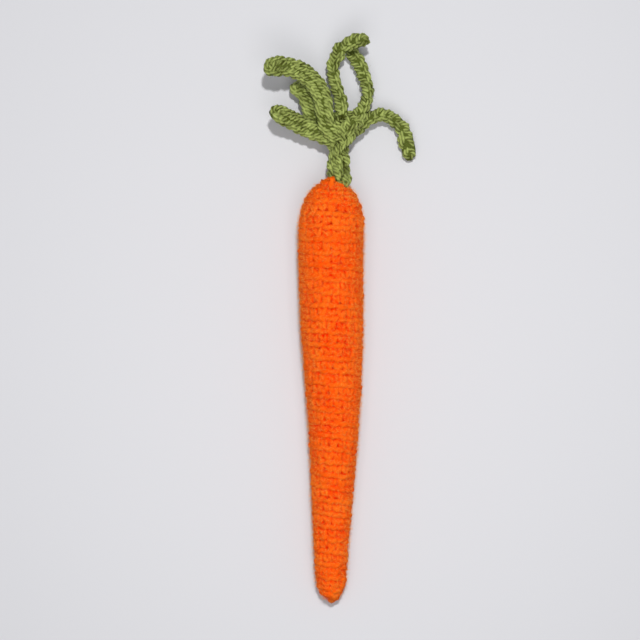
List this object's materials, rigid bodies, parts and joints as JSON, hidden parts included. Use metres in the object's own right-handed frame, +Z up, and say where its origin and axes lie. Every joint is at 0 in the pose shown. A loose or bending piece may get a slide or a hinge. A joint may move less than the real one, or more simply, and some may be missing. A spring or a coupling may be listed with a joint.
{
  "type": "crocheted toy carrot",
  "caption": "Stuffed crocheted carrot lying on its side: a long orange body worked in a spiral of stitches, with a green crocheted stem and fronds.",
  "frame": {"origin": "on the surface the carrot lies on, below the middle of its box", "axes": "+Y from the tip to the fronds, +Z up from the surface, +X to the right with the fronds away from the viewer"},
  "size_m": [0.0696, 0.2558, 0.0299],
  "materials": {
    "orange_yarn": "soft matte acrylic yarn, crocheted",
    "green_yarn": "plied cotton yarn with a slight gloss, crocheted",
    "stuffing_fibre": "loose white polyester fibre"
  },
  "bodies": {
    "root": {"body_skin": "orange_yarn", "stuffing": "stuffing_fibre", "leaf_stem": "green_yarn", "frond_left_low": "green_yarn", "frond_left_under": "green_yarn", "frond_left_high": "green_yarn", "frond_top": "green_yarn", "frond_right_up": "green_yarn", "frond_right_arch": "green_yarn"}
  },
  "joints": []
}
